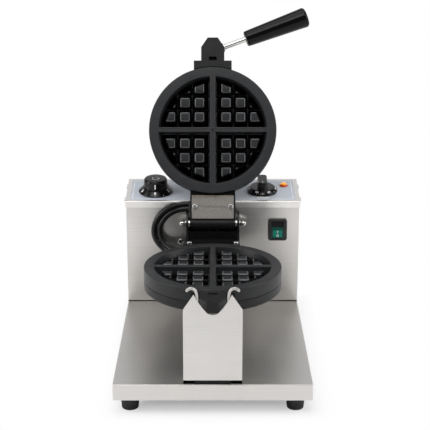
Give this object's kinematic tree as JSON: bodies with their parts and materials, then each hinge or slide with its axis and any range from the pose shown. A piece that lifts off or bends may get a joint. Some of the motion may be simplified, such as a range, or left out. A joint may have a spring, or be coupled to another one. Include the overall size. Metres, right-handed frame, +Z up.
{
  "type": "waffle maker",
  "caption": "Countertop rotary waffle maker with a hinged round lid, turning plates, front rest, rear control housing and side handle.",
  "frame": {"origin": "centre of the bounding box in plan, at the height of the feet's lower faces", "axes": "+Z up, +Y from the front support towards the control housing, +X to the right seen from the front, where the handle points"},
  "size_m": [0.2802, 0.406, 0.4793],
  "materials": {
    "brushed_stainless": "brushed stainless steel sheet",
    "sheet_cover": "satin stainless steel sheet",
    "polished_steel": "polished steel bar and wire",
    "fastener_steel": "plain bright steel",
    "dark_steel": "black painted steel plate",
    "coated_casting": "cast aluminium with a dark release coating",
    "bare_casting": "cast aluminium, bead blasted",
    "heater_sheath": "heat darkened steel tube",
    "bearing_bronze": "plain bearing bronze",
    "zinc_steel": "zinc plated steel",
    "foot_rubber": "matt black rubber",
    "hose_rubber": "black silicone sleeve",
    "label_film": "blue grey printed film",
    "knob_black": "black moulded plastic",
    "grip_black": "black moulded heat resistant plastic",
    "lamp_orange": "orange clear plastic lens",
    "rocker_green": "green lit rocker",
    "switch_black": "black moulded frame",
    "control_body": "pale moulded control body",
    "terminal_plastic": "white moulded terminal strip",
    "gland_plastic": "black moulded gland",
    "lead_insulation": "heat resistant lead insulation",
    "index_white": "white index plate"
  },
  "bodies": {
    "body": {"base_tray": "brushed_stainless", "base_bottom_plate": "zinc_steel", "rubber_feet": "foot_rubber", "foot_screws": "fastener_steel", "case_screws": "fastener_steel", "support_screws": "fastener_steel", "front_support": "brushed_stainless", "nose_latch_spring": "polished_steel", "latch_spring_clamp": "zinc_steel", "housing_shell": "brushed_stainless", "housing_top_cover": "sheet_cover", "control_panel_label": "label_film", "housing_rear_panel": "brushed_stainless", "cable_gland": "gland_plastic", "cable_gland_nut": "gland_plastic", "terminal_block": "terminal_plastic", "earth_stud": "bearing_bronze", "timer_switch": "control_body", "thermostat_body": "control_body", "thermostat_index_plate": "index_white", "indicator_lamp_lens": "lamp_orange", "indicator_lamp_body": "switch_black", "power_switch_frame": "switch_black", "shaft_bushes": "bearing_bronze", "bearing_housing": "zinc_steel", "bearing_bolts": "fastener_steel", "rotation_stop_screw": "fastener_steel", "wiring_loom": "lead_insulation"},
    "head": {"lower_grid_plate": "coated_casting", "lower_heater_casting": "bare_casting", "lower_heating_element": "heater_sheath", "lower_bottom_cover": "zinc_steel", "lower_casting_screws": "fastener_steel", "yoke": "dark_steel", "yoke_screws": "fastener_steel", "hinge_rod": "fastener_steel", "hinge_acorn_nuts": "polished_steel", "hinge_washers": "fastener_steel", "rotary_shaft": "zinc_steel", "lead_sleeve": "lead_insulation", "stop_disc": "zinc_steel", "shaft_nuts": "zinc_steel", "lower_hose_gland": "gland_plastic", "hose_outer": "hose_rubber", "hose_inner": "hose_rubber"},
    "lid": {"lid_grid_plate": "coated_casting", "lid_heater_casting": "bare_casting", "lid_heating_element": "heater_sheath", "lid_back_cover": "zinc_steel", "lid_casting_screws": "fastener_steel", "lid_hinge_leaf": "brushed_stainless", "leaf_screws": "fastener_steel", "lid_hose_gland": "gland_plastic", "handle_rod": "polished_steel", "handle_grip": "grip_black"},
    "timer_dial": {"timer_knob": "knob_black", "timer_spindle": "zinc_steel"},
    "thermostat_dial": {"thermostat_knob": "knob_black", "thermostat_spindle": "zinc_steel"},
    "switch_rocker": {"power_switch_rocker": "rocker_green"}
  },
  "joints": [
    {"name": "lid_hinge", "type": "hinge", "parent": "head", "child": "lid", "pos_m": [-0.00653, 0.07897, 0.1724], "axis": [1, 0, 0], "range_deg": [0, 112]},
    {"name": "head_turn", "type": "hinge", "parent": "body", "child": "head", "pos_m": [-0.00653, -0.06003, 0.156], "axis": [0, -1, 0], "range_deg": [0, 2.5]},
    {"name": "timer_knob_turn", "type": "hinge", "parent": "body", "child": "timer_dial", "pos_m": [-0.09353, 0.12865, 0.20786], "axis": [0, 0.1314, -0.9913], "range_deg": [0, 300]},
    {"name": "thermostat_knob_turn", "type": "hinge", "parent": "body", "child": "thermostat_dial", "pos_m": [0.06917, 0.12964, 0.20799], "axis": [0, 0.1314, -0.9913], "range_deg": [0, 270]},
    {"name": "power_switch_rock", "type": "hinge", "parent": "body", "child": "switch_rocker", "pos_m": [0.09137, 0.09297, 0.1586], "axis": [1, 0, 0], "range_deg": [0, 14]}
  ]
}
